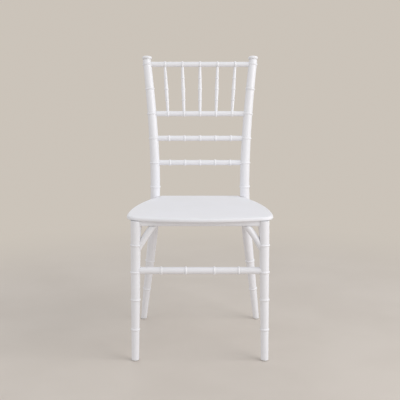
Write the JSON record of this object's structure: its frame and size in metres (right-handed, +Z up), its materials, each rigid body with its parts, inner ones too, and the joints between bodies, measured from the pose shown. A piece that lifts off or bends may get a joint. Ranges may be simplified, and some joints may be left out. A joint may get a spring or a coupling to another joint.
{
  "type": "chiavari chair",
  "caption": "Armless dining and event chair with a ringed, bamboo-style frame, round back rails, fanned spindles below the top rail and a flat rounded seat panel.",
  "frame": {"origin": "on the floor under the middle of the chair's bounding box", "axes": "+Z up, +Y towards the back of the chair, +X to the right as seen from the front"},
  "size_m": [0.444, 0.4575, 0.9208],
  "materials": {
    "white_resin": "satin moulded polycarbonate resin",
    "glide_plastic": "satin nylon",
    "zinc_steel": "zinc plated"
  },
  "bodies": {
    "root": {"left_back_post": "white_resin", "right_back_post": "white_resin", "left_post_cap": "white_resin", "right_post_cap": "white_resin", "top_rail": "white_resin", "spindle_rail": "white_resin", "upper_back_rail": "white_resin", "lower_back_rail": "white_resin", "spindle_1": "white_resin", "spindle_2": "white_resin", "spindle_3": "white_resin", "spindle_4": "white_resin", "spindle_5": "white_resin", "seat_panel": "white_resin", "front_seat_rail": "white_resin", "rear_seat_rail": "white_resin", "left_seat_rail": "white_resin", "right_seat_rail": "white_resin", "left_front_leg": "white_resin", "right_front_leg": "white_resin", "front_stretcher": "white_resin", "front_left_brace": "white_resin", "front_right_brace": "white_resin", "rear_left_brace": "white_resin", "rear_right_brace": "white_resin", "left_front_side_brace": "white_resin", "right_front_side_brace": "white_resin", "left_rear_side_brace": "white_resin", "right_rear_side_brace": "white_resin", "front_left_corner_block": "white_resin", "front_right_corner_block": "white_resin", "rear_left_corner_block": "white_resin", "rear_right_corner_block": "white_resin", "front_left_glide": "glide_plastic", "front_right_glide": "glide_plastic", "rear_left_glide": "glide_plastic", "rear_right_glide": "glide_plastic", "tenon_pins": "zinc_steel", "leg_bolts": "zinc_steel", "block_screws": "zinc_steel", "seat_screws": "zinc_steel"}
  },
  "joints": []
}
